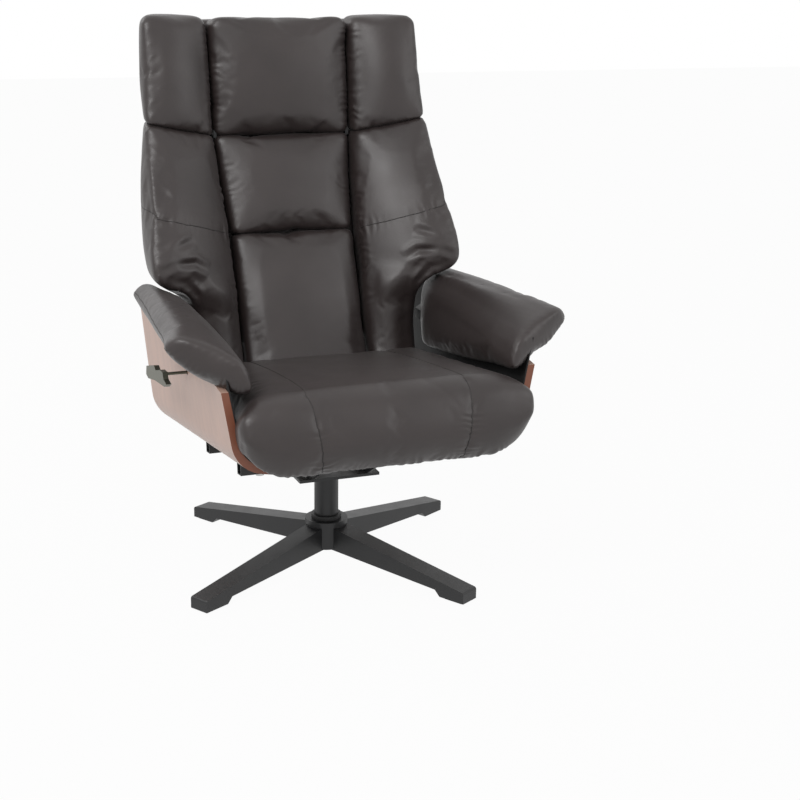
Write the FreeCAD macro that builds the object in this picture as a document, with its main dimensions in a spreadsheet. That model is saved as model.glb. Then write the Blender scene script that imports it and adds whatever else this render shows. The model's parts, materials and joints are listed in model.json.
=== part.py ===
import FreeCAD, Part
import math
import os
import Sketcher

# Recliner armchair on a swivel base. Millimetres, +Z up, front of the chair towards -Y.
# The origin is on the floor under the swivel column.

DIMENSIONS = {
    "base_radius": 372, "base_yaw": 30, "arm_width": 43, "arm_tip_top": 27, "arm_root_top": 84,
    "arm_root_underside": 32, "foot_length": 58, "foot_lift": 12, "hub_radius": 44, "hub_top": 90,
    "hub_floor": 8,
    "glide_thickness": 4, "glide_length": 40, "glide_width": 30, "bolt_radius": 4, "hole_gap": 0.3,
    "column_radius": 25, "column_wall": 5, "column_top": 197, "spindle_radius": 16, "running_gap": 0.05,
    "bush_length": 90, "washer_thickness": 3, "plate_size": 170, "plate_thickness": 6,
    "cheek_spread": 60, "cheek_thickness": 5, "seat_tilt": 7, "seat_plane": 294, "slide_gap": 0.3,
    "tube_size": 25, "tube_half": 226, "front_tube": -137, "rear_tube": 100,
    "rail_inner": 135, "rail_width": 30, "rail_height": 28, "rail_wall": 3, "rail_front": -245,
    "rail_rear": 66, "board_gap": 4, "board_half": 200, "board_thickness": 12, "board_front": -350,
    "board_rear": 40,
    "shell_front": -323, "shell_rear": 305, "shell_wall": 13, "liner_wall": 2.5, "shell_half_top": 316,
    "shell_half_corner": 281, "shell_half_flange": 170, "shell_corner_radius": 70,
    "shell_top": 526, "shell_corner": 324, "shell_flange": 305, "rear_half_top": 314,
    "rear_half_corner": 296, "rear_top": 534, "rear_corner": 252, "rear_flange": 232,
    "front_cut": 474, "front_cut_rear": -197, "front_cut_top": 490, "bolt_line": 185,
    "pad_front": -318, "pad_rear": 204, "pad_height": 44, "pad_outer_front": 386, "pad_outer_rear": 350,
    "pad_inner": 252, "pad_outer_low": 546, "pad_inner_low": 483, "pad_rear_drop": -4, "bracket_low": 462,
    "soft_gap": 0.4, "pivot_depth": 140, "pivot_height": 335, "pivot_radius": 5, "roll_radius": 88,
    "seat_half": 246, "seat_nose_half": 286, "seat_front": -392, "seat_crest": 460, "seat_bottom": 319,
    "seat_rear_top": 408, "back_low_half": 243, "panel_half": 142, "cushion_depth": 66,
    "frame_depth": 12, "cover_depth": 14, "frame_half": 215, "wing_half": 308, "wing_bottom": 602,
    "back_foot": 412, "back_foot_depth": 99, "lumbar_height": 655, "lumbar_depth": 208, "head_depth": 280,
    "back_top_depth": 299.6, "bracket_thickness": 6, "handle_thickness": 10, "hinge_depth": 300,
    "hinge_height": 850, "back_top": 1092,
    "hinge_radius": 4, "ear_thickness": 3, "ear_gap": 0.3, "head_half": 294, "lever_pivot": -150,
    "lever_height": 447,
    "lever_reach": 80, "lever_rod": 3, "lever_out": 345, "lever_in": 275, "slot_width": 10,
    "slot_height": 22, "lock_radius": 11, "lock_wall": 2, "lock_rod_radius": 4, "lock_drop": 14,
    "lock_length": 130,
    "lock_reach": 90, "bolt_length": 44, "runner_depth": 15,
    "runner_width": 12, "runner_front": -150, "block_length": 55, "side_gap": 1, "layer_drop": 20,
    "hinge_slope": 0.21,
    "wing_reach": 100,
}

# the paddle of the release lever seen from its side: depth and height of each corner
HANDLE_OUTLINE = [
    (66, 412), (62, 430), (-6, 448), (-20, 442), (-56, 452), (-78, 453), (-86, 441), (-108, 437),
    (-92, 428), (-8, 419), (48, 408),
]

doc = FreeCAD.newDocument("recliner")
sheet = doc.addObject("Spreadsheet::Sheet", "dims")
for row, (alias, number) in enumerate(DIMENSIONS.items(), start=1):
    sheet.set(f"A{row}", alias.replace("_", " "))
    sheet.set(f"B{row}", str(number))
    sheet.setAlias(f"B{row}", alias)
doc.recompute()


class Size:
    """A length or an angle: the expression that the document keeps, and its present value."""

    def __init__(self, text, value):
        self.text = text
        self.value = float(value)

    def combined(self, sign, other, value):
        return Size(f"({self.text} {sign} {as_size(other).text})", value)

    def __add__(self, other):
        return self.combined("+", other, self.value + as_size(other).value)

    def __sub__(self, other):
        return self.combined("-", other, self.value - as_size(other).value)

    def __mul__(self, other):
        return self.combined("*", other, self.value * as_size(other).value)

    def __truediv__(self, other):
        return self.combined("/", other, self.value / as_size(other).value)

    def __neg__(self):
        return Size(f"(0 - {self.text})", -self.value)


def as_size(number):
    return number if isinstance(number, Size) else Size(repr(float(number)), number)


def cell(alias):
    return Size(f"dims.{alias}", getattr(sheet, alias))


def cosine(angle):
    return Size(f"cos({angle.text})", math.cos(math.radians(angle.value)))


def sine(angle):
    return Size(f"sin({angle.text})", math.sin(math.radians(angle.value)))


def along(first, last, share):
    """The size a share of the way from the first to the last."""
    return first + (as_size(last) - first) * share


def bind(thing, **sizes):
    for name, size in sizes.items():
        thing.setExpression(name, as_size(size).text)


def place(thing, x=0, y=0, z=0, axis=(0, 0, 1), angle=0):
    spot = "; ".join(as_size(size).text for size in (x, y, z))
    turn = "; ".join(str(number) for number in axis)
    text = f"placement(vector({spot}); rotation(vector({turn}); {as_size(angle).text}))"
    thing.setExpression("Placement", text)


NODES = []


def keep(thing, label):
    thing.Label = label
    NODES.append(thing)
    return thing


def new_body(name):
    return doc.addObject("PartDesign::Body", name + "_body")


def new_sketch(body, role, offset=None):
    """A sketch on one of the body's own origin planes, moved along that plane's normal."""
    sketch = body.newObject("Sketcher::SketchObject", body.Name + "_sketch")
    plane = [item for item in body.Origin.OriginFeatures if item.Role == role][0]
    sketch.AttachmentSupport = [(plane, "")]
    sketch.MapMode = "FlatFace"
    if offset is not None:
        sketch.setExpression("AttachmentOffset.Base.z", as_size(offset).text)
    return sketch


def polygon(sketch, corners):
    """A closed outline. A corner is (x, y) or (x, y, radius), each a Size or a number."""
    corners = [tuple(as_size(size) for size in corner) for corner in corners]
    spots = [FreeCAD.Vector(corner[0].value, corner[1].value, 0) for corner in corners]
    count = len(corners)
    ends = []
    for index, corner in enumerate(corners):
        before = (spots[index - 1] - spots[index]).normalize()
        after = (spots[(index + 1) % count] - spots[index]).normalize()
        half = before.getAngle(after) / 2
        reach = corner[2].value / math.tan(half) if len(corner) > 2 else 0
        middle = (before + after).normalize() if len(corner) > 2 else before
        centre = spots[index] + middle * (corner[2].value / math.sin(half) if len(corner) > 2 else 0)
        ends.append((spots[index] + before * reach, spots[index] + after * reach, centre))
    lines = []
    for index in range(count):
        edge = Part.LineSegment(ends[index][1], ends[(index + 1) % count][0])
        lines.append(sketch.addGeometry(edge, False))
    for index, corner in enumerate(corners):
        last, first = lines[index - 1], lines[index]
        if len(corner) == 2:
            sketch.addConstraint(Sketcher.Constraint("Coincident", last, 2, first, 1))
            fix_point(sketch, first, 1, corner)
            continue
        enter, leave, centre = ends[index]
        radius = corner[2].value
        start = math.atan2(enter.y - centre.y, enter.x - centre.x)
        stop = math.atan2(leave.y - centre.y, leave.x - centre.x)
        turn = (stop - start) % (2 * math.pi)
        ccw = turn < math.pi
        circle = Part.Circle(centre, FreeCAD.Vector(0, 0, 1), radius)
        arc = Part.ArcOfCircle(circle, start, stop) if ccw else Part.ArcOfCircle(circle, stop, start)
        bend = sketch.addGeometry(arc, False)
        near, far = (1, 2) if ccw else (2, 1)
        sketch.addConstraint(Sketcher.Constraint("Tangent", last, 2, bend, near))
        sketch.addConstraint(Sketcher.Constraint("Tangent", bend, far, first, 1))
        size = sketch.addConstraint(Sketcher.Constraint("Radius", bend, radius))
        sketch.setExpression(f"Constraints[{size}]", corner[2].text)
        mark = sketch.addGeometry(Part.Point(spots[index]), True)
        sketch.addConstraint(Sketcher.Constraint("PointOnObject", mark, 1, last))
        sketch.addConstraint(Sketcher.Constraint("PointOnObject", mark, 1, first))
        fix_point(sketch, mark, 1, corner)


def fix_point(sketch, geometry, point, corner):
    for kind, size in (("DistanceX", corner[0]), ("DistanceY", corner[1])):
        index = sketch.addConstraint(Sketcher.Constraint(kind, -1, 1, geometry, point, size.value))
        sketch.setExpression(f"Constraints[{index}]", size.text)


def pad(body, sketch, length, middle=False):
    feature = body.newObject("PartDesign::Pad", body.Name + "_pad")
    feature.Profile = sketch
    feature.Midplane = middle
    bind(feature, Length=length)
    return feature


def pocket(body, sketch):
    """Cuts the outline right through the body, both ways."""
    feature = body.newObject("PartDesign::Pocket", body.Name + "_pocket")
    feature.Profile = sketch
    feature.Type = 1
    feature.Midplane = True
    return feature


def upright(body, kind, name, radius, height, z):
    """A cylinder about the body's own Z axis, added to it or taken from it."""
    feature = body.newObject(f"PartDesign::{kind}Cylinder", f"{body.Name}_{name}")
    plane = [item for item in body.Origin.OriginFeatures if item.Role == "XY_Plane"][0]
    feature.AttachmentSupport = [(plane, "")]
    feature.MapMode = "FlatFace"
    bind(feature, Radius=radius, Height=height)
    feature.setExpression("AttachmentOffset.Base.z", as_size(z).text)
    return feature


def side_slab(label, corners, low, high):
    """A piece with a side outline of (y, z) corners that runs from x = low to x = high."""
    body = new_body(label)
    sketch = new_sketch(body, "YZ_Plane", low)
    polygon(sketch, corners)
    pad(body, sketch, as_size(high) - low)
    return body


def both_sides(label, corners, low, high):
    """A left piece at negative x and a right piece at positive x, with one side outline."""
    low, high = as_size(low), as_size(high)
    return (side_slab(label + "_left", corners, -high, -low),
            side_slab(label + "_right", corners, low, high))


def box(name, x, y, z, length, width, height):
    """A box from its lowest corner (x, y, z)."""
    thing = doc.addObject("Part::Box", name)
    bind(thing, Length=length, Width=width, Height=height)
    place(thing, x, y, z)
    return thing


def cylinder(name, radius, height, x=0, y=0, z=0, axis=(0, 0, 1), angle=0):
    thing = doc.addObject("Part::Cylinder", name)
    bind(thing, Radius=radius, Height=height)
    place(thing, x, y, z, axis, angle)
    return thing


def across(name, radius, x, length, y, z):
    """A cylinder along +X from x."""
    return cylinder(name, radius, length, x, y, z, (0, 1, 0), 90)


def lengthwise(name, radius, y, length, x, z):
    """A cylinder along +Y from y."""
    return cylinder(name, radius, length, x, y, z, (1, 0, 0), -90)


def cut(name, base, tool):
    thing = doc.addObject("Part::Cut", name)
    thing.Base = base
    thing.Tool = tool
    return thing


def cut_all(name, base, tools):
    """The base with each tool taken from it in turn."""
    for index, tool in enumerate(tools[:-1]):
        base = cut(f"{name}_step_{index}", base, tool)
    return cut(name, base, tools[-1])


def fuse(name, parts):
    thing = doc.addObject("Part::MultiFuse", name)
    thing.Shapes = parts
    return thing


def group(name, parts):
    thing = doc.addObject("Part::Compound", name)
    thing.Links = parts
    return thing


tilt = cell("seat_tilt")
plane_height = cell("seat_plane")


def tilted(thing):
    """Places a piece drawn on the seat's own plane, where +Y runs to the rear and down."""
    place(thing, 0, 0, plane_height, (1, 0, 0), -tilt)
    return thing


# ---------------------------------------------------------------- base


def base_star():
    body = new_body("base_star")
    tip = cell("base_radius")
    heel = tip - cell("foot_length")
    rest = cell("glide_thickness")
    sketch = new_sketch(body, "XZ_Plane")
    polygon(sketch, [
        (0, cell("arm_root_underside")), (heel - cell("foot_lift"), rest + cell("foot_lift")),
        (heel, rest), (tip, rest), (tip, cell("arm_tip_top"), 5), (0, cell("arm_root_top")),
    ])
    first_arm = pad(body, sketch, cell("arm_width"), middle=True)
    pattern = body.newObject("PartDesign::PolarPattern", "base_star_pattern")
    pattern.Originals = [first_arm]
    axis = [item for item in body.Origin.OriginFeatures if item.Role == "Z_Axis"][0]
    pattern.Axis = (axis, [""])
    pattern.Angle = 360
    pattern.Occurrences = 4
    body.Tip = pattern
    floor = cell("arm_root_underside") + cell("hub_floor")
    depth = cell("hub_top") - cell("arm_root_underside")
    upright(body, "Additive", "hub", cell("hub_radius"), depth, cell("arm_root_underside"))
    upright(body, "Subtractive", "socket", cell("column_radius"), depth, floor)
    upright(body, "Subtractive", "bore", cell("bolt_radius") + cell("hole_gap"), depth, 0)
    place(body, angle=cell("base_yaw"))
    keep(body, "base_star")


def spread_over_arms(name, make):
    """Four copies, one under each arm of the base."""
    copies = []
    for arm in range(4):
        piece = make(f"{name}_{arm}")
        holder = group(f"{name}_{arm}_turn", [piece])
        place(holder, angle=cell("base_yaw") + 90 * arm)
        copies.append(holder)
    return group(name, copies)


def floor_glides():
    inset = (cell("foot_length") - cell("glide_length")) / 2
    start = cell("base_radius") - inset - cell("glide_length")

    def glide(name):
        return box(name, start, -cell("glide_width") / 2, 0,
                   cell("glide_length"), cell("glide_width"), cell("glide_thickness"))

    keep(spread_over_arms("floor_glides", glide), "floor_glides")


def column():
    foot = cell("arm_root_underside") + cell("hub_floor")
    height = cell("column_top") - foot
    inner = cell("column_radius") - cell("column_wall")
    outside = cylinder("column_outside", cell("column_radius"), height, z=foot)
    inside = cylinder("column_inside", inner, height, z=foot + cell("column_wall"))
    screw = cylinder("column_screw_hole", cell("bolt_radius"), height, z=foot - 1)
    hollow = fuse("column_hollow", [inside, screw])
    keep(cut("column_tube", outside, hollow), "column_tube")
    bush_low = cell("column_top") - cell("bush_length")
    bush = cylinder("bush_outside", inner, cell("bush_length"), z=bush_low)
    bore = cylinder("bush_bore", cell("spindle_radius") + cell("running_gap"), cell("bush_length") + 2,
                    z=bush_low - 1)
    keep(cut("column_bush", bush, bore), "column_bush")
    collar = cylinder("collar_outside", cell("column_radius") + 6, 9, z=cell("hub_top"))
    opening = cylinder("collar_opening", cell("column_radius"), 11, z=cell("hub_top") - 1)
    keep(cut("column_collar", collar, opening), "column_collar")
    ring = cylinder("washer_outside", cell("column_radius") + 3, cell("washer_thickness"),
                    z=cell("column_top"))
    eye = cylinder("washer_eye", cell("spindle_radius") + 0.5, 9, z=cell("column_top") - 1)
    keep(cut("thrust_washer", ring, eye), "thrust_washer")
    head_top = cell("arm_root_underside") - 1
    head = cylinder("hub_bolt_head", 13, 8, z=head_top - 8)
    shank = cylinder("hub_bolt_shank", cell("bolt_radius"), 15, z=head_top)
    keep(fuse("hub_bolt", [head, shank]), "hub_bolt")


# ---------------------------------------------------------------- carrier: all that swivels with the arms


def swivel_head():
    low = cell("column_top") + cell("washer_thickness")
    top = low + cell("plate_thickness")
    size = cell("plate_size")
    spindle_length = cell("bush_length") + 20
    spindle = cylinder("spindle_pin", cell("spindle_radius"), spindle_length, z=low - spindle_length)
    keep(spindle, "swivel_spindle")
    plate = box("plate_sheet", -size / 2, -size / 2, low, size, size, cell("plate_thickness"))
    cheeks = []
    for side in (-1, 1):
        body = new_body(f"cheek_{'left' if side < 0 else 'right'}")
        start = cell("cheek_spread") * side - cell("cheek_thickness") / 2
        sketch = new_sketch(body, "YZ_Plane", start)
        polygon(sketch, [
            (-size / 2, top - 0.5), (size / 2, top - 0.5),
            cheek_top(cell("rear_tube") + cell("tube_size") / 2),
            cheek_top(cell("front_tube") - cell("tube_size") / 2),
            (along(-size / 2, cell("front_tube"), 1), along(top, plane_height, 0.35)),
        ])
        pad(body, sketch, cell("cheek_thickness"))
        cheeks.append(body)
    keep(fuse("swivel_plate_fused", [plate] + cheeks), "swivel_plate")


def seat_point(reach, rise):
    """World (y, z) of a point on the seat's plane: reach to the rear and rise above the plane."""
    reach, rise = as_size(reach), as_size(rise)
    return (reach * cosine(tilt) + rise * sine(tilt),
            plane_height - reach * sine(tilt) + rise * cosine(tilt))


tube_top = -(cell("board_gap") + cell("rail_height"))
tube_bottom = tube_top - cell("tube_size")


def cheek_top(reach):
    return seat_point(reach, tube_bottom)


def cross_tubes():
    for name, reach in (("front_cross_tube", cell("front_tube")), ("rear_cross_tube", cell("rear_tube"))):
        half = cell("tube_half")
        size = cell("tube_size")
        low = reach - size / 2
        bar = box(name + "_bar", -half, low, tube_bottom, half * 2, size, size)
        hollow = box(name + "_hollow", -half - 1, low + 2, tube_bottom + 2, half * 2 + 2, size - 4,
                     size - 4)
        holes = [
            cylinder(f"{name}_hole_{side}", cell("bolt_radius") + cell("hole_gap"), size + 2,
                     cell("bolt_line") * side, reach, tube_bottom - 1)
            for side in (-1, 1)
        ]
        keep(tilted(cut(name + "_drilled", bar, fuse(name + "_voids", [hollow] + holes))), name)


def seat_rails():
    for side, name in ((-1, "seat_rail_left"), (1, "seat_rail_right")):
        wall = cell("rail_wall")
        width = cell("rail_width")
        inner = cell("rail_inner")
        low = inner if side > 0 else -inner - width
        length = cell("rail_rear") - cell("rail_front")
        bar = box(name + "_bar", low, cell("rail_front"), tube_top, width, length, cell("rail_height"))
        slot = box(name + "_slot", low + wall, cell("rail_front") + wall, tube_top + wall,
                   width - wall * 2, length - wall * 2, cell("rail_height"))
        keep(tilted(cut(name + "_channel", bar, slot)), name)


def shell_section(sketch, side, inset, top, corner, flange, radius):
    """An L-shaped strip of the shell's wall, inset from its outer face. Corners are (half, z)."""
    thickness = cell("shell_wall") if inset is None else cell("liner_wall")
    start = as_size(0) if inset is None else inset
    out = []
    for depth in (start, start + thickness):
        out.append(((top[0] - depth) * side, top[1]))
        out.append(((corner[0] - depth) * side, corner[1] + depth, radius - depth))
        out.append((flange[0] * side, flange[1] + depth))
    polygon(sketch, [out[0], out[1], out[2], out[5], out[4], out[3]])


def shell_body(name, side, inset=None, lift=0):
    """The curved wall between a front section and a rear section, cut to its side outline."""
    body = new_body(name)
    lift = as_size(lift)
    front = new_sketch(body, "XZ_Plane", -cell("shell_front"))
    shell_section(front, side, inset, (cell("shell_half_top"), cell("shell_top") + lift),
                  (cell("shell_half_corner"), cell("shell_corner")),
                  (cell("shell_half_flange"), cell("shell_flange")), cell("shell_corner_radius"))
    rear = new_sketch(body, "XZ_Plane", -cell("shell_rear"))
    shell_section(rear, side, inset, (cell("rear_half_top"), cell("rear_top") + lift),
                  (cell("rear_half_corner"), cell("rear_corner")),
                  (cell("shell_half_flange"), cell("rear_flange")), cell("shell_corner_radius"))
    loft = body.newObject("PartDesign::AdditiveLoft", name + "_loft")
    loft.Profile = front
    loft.Sections = [rear]
    loft.Ruled = True
    trim = new_sketch(body, "YZ_Plane")
    far = cell("shell_rear") + 60
    polygon(trim, [
        (cell("pad_rear") + 2, 700), (cell("pad_rear") + 2, cell("rear_top")),
        (cell("shell_rear") - 3, cell("rear_top") - 42),
        (cell("shell_rear") - 44, cell("rear_corner") + 6, 45),
        (cell("shell_rear") - 170, cell("rear_corner") - 60),
        (far, cell("rear_corner") - 60), (far, 700),
    ])
    pocket(body, trim)
    if inset is None:
        nose = new_sketch(body, "YZ_Plane")
        polygon(nose, [
            (cell("shell_front") - 20, cell("front_cut") - 2),
            (cell("front_cut_rear"), cell("front_cut_top")),
            (cell("front_cut_rear") + 40, cell("shell_top") + 40),
            (cell("shell_front") - 20, cell("shell_top") + 40),
        ])
        pocket(body, nose)
    return body


def lever_slot(name):
    half = cell("slot_width") / 2
    y = cell("lever_pivot") + cell("lever_reach")
    return box(name, -cell("lever_out"), y - half, cell("lever_height") - half,
               cell("lever_out") - cell("pad_inner"), half * 2, cell("slot_height"))


def bolt_holes(name, side, radius):
    """Two upright holes through a shell's flange, on the cross tubes' own bolt line."""
    holes = [
        cylinder(f"{name}_{reach.text[5:]}", radius, 70, cell("bolt_line") * side, reach, tube_top - 10)
        for reach in (cell("front_tube"), cell("rear_tube"))
    ]
    return tilted(group(name, holes))


def side_shells():
    for side, end in ((-1, "left"), (1, "right")):
        radius = cell("bolt_radius") + cell("hole_gap")
        wall = shell_body(f"shell_{end}", side)
        pad_body = arm_pad(side, end)
        tools = [bolt_holes(f"shell_holes_{end}", side, radius), pad_body]
        lining = shell_body(f"liner_{end}", side, cell("shell_wall"), 2)
        liner_tools = [bolt_holes(f"liner_holes_{end}", side, radius + 6), pad_body]
        if side < 0:
            tools.append(lever_slot("shell_slot"))
            liner_tools.append(lever_slot("liner_slot"))
        keep(cut_all(f"shell_cut_{end}", wall, tools), f"side_shell_{end}")
        keep(cut_all(f"liner_cut_{end}", lining, liner_tools), f"shell_liner_{end}")


def pad_corners(side, outer, drop):
    """The arm pad's cross section: the outer edge stands high and the inner edge low."""
    height = cell("pad_height")
    inner = cell("pad_inner")
    low, inner_low = cell("pad_outer_low") + drop, cell("pad_inner_low") + drop
    return [
        (outer * side, low), (inner * side, inner_low), (inner * side, inner_low + height - 6, 14),
        ((outer - 24) * side, low + height - 26, 16),
    ]


def arm_pad(side, end):
    body = new_body(f"arm_pad_{end}")
    front = new_sketch(body, "XZ_Plane", -cell("pad_front"))
    polygon(front, pad_corners(side, cell("pad_outer_front"), as_size(0)))
    rear = new_sketch(body, "XZ_Plane", -cell("pad_rear"))
    polygon(rear, pad_corners(side, cell("pad_outer_rear"), cell("pad_rear_drop")))
    loft = body.newObject("PartDesign::AdditiveLoft", f"arm_pad_{end}_loft")
    loft.Profile = front
    loft.Sections = [rear]
    loft.Ruled = True
    return keep(body, f"arm_pad_{end}")


def arm_brackets():
    """A bent steel rib on each shell's lining that carries the arm pad."""
    for side, end in ((-1, "left"), (1, "right")):
        slabs = []
        for spot, reach in (("front", -230), ("rear", 110)):
            width = 40
            outer = cell("shell_half_top") - cell("shell_wall") - 5
            low = outer - width if side > 0 else -outer
            slabs.append(box(f"bracket_{end}_{spot}", low, reach, cell("bracket_low"), width, 50, 52))
        blank = group(f"bracket_blank_{end}", slabs)
        wall = doc.getObject(f"shell_cut_{end}")
        lining = doc.getObject(f"liner_cut_{end}")
        pad_body = doc.getObject(f"arm_pad_{end}_body")
        keep(cut_all(f"bracket_cut_{end}", blank, [wall, lining, pad_body]), f"arm_brackets_{end}")


def shell_fasteners():
    """Bolts that rise through the tubes, and the wedges between tube and flange."""
    radius = cell("bolt_radius")
    bolts = []
    wedges = []
    for side, end in ((-1, "left"), (1, "right")):
        for spot, reach in (("front", cell("front_tube")), ("rear", cell("rear_tube"))):
            x = cell("bolt_line") * side
            name = f"bolt_{end}_{spot}"
            shank = cylinder(name + "_shank", radius, cell("bolt_length"), x, reach, tube_bottom)
            head = cylinder(name + "_head", radius * 1.9, 5, x, reach, tube_bottom - 5)
            bolts.append(fuse(name, [shank, head]))
            half = cell("tube_size") / 2
            wedges.append(box(name + "_wedge", x - half, reach - half, tube_top, half * 2, half * 2, 14))
    keep(tilted(group("shell_bolts_group", bolts)), "shell_bolts")
    blanks = tilted(group("wedge_blanks", wedges))
    tools = [doc.getObject(f"shell_cut_{end}") for end in ("left", "right")]
    tools += [doc.getObject(f"liner_cut_{end}") for end in ("left", "right")]
    tools += [bolt_holes(f"wedge_holes_{side}", side, radius + cell("hole_gap")) for side in (-1, 1)]
    keep(cut_all("wedge_cut", blanks, tools), "shell_wedges")


def lock_strut():
    """The gas strut that holds the seat where it is left: cylinder on the rear tube, rod on the seat."""
    radius, wall = cell("lock_radius"), cell("lock_wall")
    centre = -(cell("board_gap") + cell("lock_drop"))
    rear = cell("rear_tube") - cell("tube_size") / 2
    front = rear - cell("lock_length")
    barrel = lengthwise("lock_barrel", radius, front, cell("lock_length"), 0, centre)
    foot = box("lock_foot", -radius, rear, tube_top, radius * 2, cell("tube_size"), radius * 2)
    bore = lengthwise("lock_bore", radius - wall, front + 6, cell("lock_length") - 12, 0, centre)
    gland = lengthwise("lock_gland", cell("lock_rod_radius") + cell("running_gap"), front - 1, 9, 0, centre)
    keep(tilted(cut("lock_hollow", fuse("lock_solid", [barrel, foot]),
                    fuse("lock_voids", [bore, gland]))), "lock_cylinder")
    reach = front - cell("lock_reach")
    length = cell("lock_length") + cell("lock_reach") - 20
    rod = lengthwise("lock_rod_bar", cell("lock_rod_radius"), reach, length, 0, centre)
    lug = box("lock_lug", -12, reach - 12, centre - radius, 24, 12, -centre + radius)
    keep(tilted(fuse("lock_rod_fused", [rod, lug])), "lock_rod")


# ---------------------------------------------------------------- seat: slides on the rails


def seat_board():
    half = cell("board_half")
    body = new_body("seat_board")
    sketch = new_sketch(body, "XY_Plane")
    polygon(sketch, [(-half, cell("board_front")), (half, cell("board_front")),
                     (half, cell("board_rear")), (-half, cell("board_rear"))])
    pad(body, sketch, cell("board_thickness"))
    keep(tilted(body), "seat_board")


def seat_runners():
    wall, gap, width = cell("rail_wall"), cell("slide_gap"), cell("rail_width")
    block_width = width - wall * 2 - gap * 2
    blocks = []
    for side, end in ((-1, "left"), (1, "right")):
        middle = (cell("rail_inner") + width / 2) * side
        low = -(cell("board_gap") + cell("runner_depth"))
        bar = box(f"runner_{end}", middle - cell("runner_width") / 2, cell("runner_front"), low,
                  cell("runner_width"), cell("board_rear") - cell("runner_front"), -low)
        keep(tilted(group(f"runner_{end}_group", [bar])), f"seat_runner_{end}")
        bottom = tube_top + wall + gap
        for spot, reach in (("front", cell("runner_front")),
                            ("rear", cell("board_rear") - cell("block_length"))):
            blocks.append(box(f"block_{end}_{spot}", middle - block_width / 2, reach, bottom,
                              block_width, cell("block_length"), low - bottom))
    keep(tilted(group("slide_blocks_group", blocks)), "slide_blocks")


pivot = (cell("pivot_depth"), cell("pivot_height"))


def pivot_brackets():
    inner = cell("board_half")
    outline = [seat_point(-60, 0), seat_point(cell("board_rear"), 0), (pivot[0] + 12, pivot[1] - 16, 8),
               (pivot[0] + 12, pivot[1] + 16, 8), (pivot[0] - 12, pivot[1] + 16), seat_point(-60, 32)]
    plates = both_sides("pivot_bracket", outline, inner, inner + cell("bracket_thickness"))
    for plate, end, side in zip(plates, ("left", "right"), (-1, 1)):
        arm = cell("bracket_thickness") + cell("side_gap")
        length = arm + cell("bracket_thickness") + 3
        x = inner - arm - 1 if side > 0 else -inner - cell("bracket_thickness") - 2
        pin = across(f"pivot_pin_{end}", cell("pivot_radius"), x, length, *pivot)
        keep(fuse(f"pivot_bracket_fused_{end}", [plate, pin]), f"pivot_bracket_{end}")


def seat_cushion():
    top = cell("board_thickness") + cell("soft_gap")
    front = cell("board_front") - 2
    half = cell("seat_half")
    face = cell("seat_front")
    crest = cell("seat_crest")
    main = side_slab("seat_core", [
        (face + 16, cell("seat_bottom")), (face, cell("seat_bottom") + 24), (face, crest - 34, 24),
        (face + 40, crest, 30), (pivot[0], cell("seat_rear_top") - 6), seat_point(pivot[0], top),
        seat_point(front, top), (cell("board_front") + 2, cell("seat_bottom")),
    ], -half, half)
    nose_rear = cell("shell_front") - 3
    nose_half = cell("seat_nose_half")
    nose = side_slab("seat_nose", [
        (face + 12, cell("seat_bottom") + 18), (face, cell("seat_bottom") + 34), (face, crest - 38, 20),
        (face + 34, crest - 8, 20), (nose_rear, crest - 8), (nose_rear, cell("seat_bottom") + 38),
        (cell("board_front") + 1, cell("seat_bottom") + 38),
        (cell("board_front") + 1, cell("seat_bottom") + 18),
    ], -nose_half, nose_half)
    hollow = across("seat_hollow", cell("roll_radius") + 1.5, -half - 1, half * 2 + 2, *pivot)
    thickness = cell("bracket_thickness")
    slots = []
    for side in (-1, 1):
        x = cell("board_half") - 1 if side > 0 else -cell("board_half") - thickness - 1
        slots.append(tilted(group(f"bracket_slot_{side + 1}_turn", [
            box(f"bracket_slot_{side + 1}", x, -63, 0, thickness + 2, 160, 75)])))
    blank = fuse("seat_cushion_fused", [main, nose])
    keep(cut_all("seat_cushion_cut", blank, [hollow] + slots), "seat_cushion")


# ---------------------------------------------------------------- backrest


def face_line(height):
    """How far back the front face of the backrest lies at one of its three heights."""
    return {"foot": (cell("back_foot_depth"), cell("back_foot")),
            "lumbar": (cell("lumbar_depth"), cell("lumbar_height")),
            "hinge": (cell("head_depth"), cell("hinge_height")),
            "top": (cell("back_top_depth"), cell("back_top"))}[height]


def layer(height, depth, rise=0):
    y, z = face_line(height)
    return (y + depth, z + rise)


def lie(height, depth):
    """A corner of the layers behind the cushions, which bend a little lower than the face does."""
    drop = {"foot": cell("layer_drop"), "lumbar": cell("layer_drop"), "hinge": 0, "top": 0}[height]
    return layer(height, depth, -as_size(drop))


def between(first, last, share):
    return (along(first[0], last[0], share), along(first[1], last[1], share))


cushion_back = cell("cushion_depth")
frame_front = cushion_back + cell("soft_gap")
frame_back = frame_front + cell("frame_depth")
cover_front = frame_back + cell("soft_gap")
cover_back = cover_front + cell("cover_depth")


def wedge(depth):
    """How far a face at this depth in front of the head hinge stands clear of it, to let it tilt."""
    return (cell("hinge_depth") - depth) * cell("hinge_slope")


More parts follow.
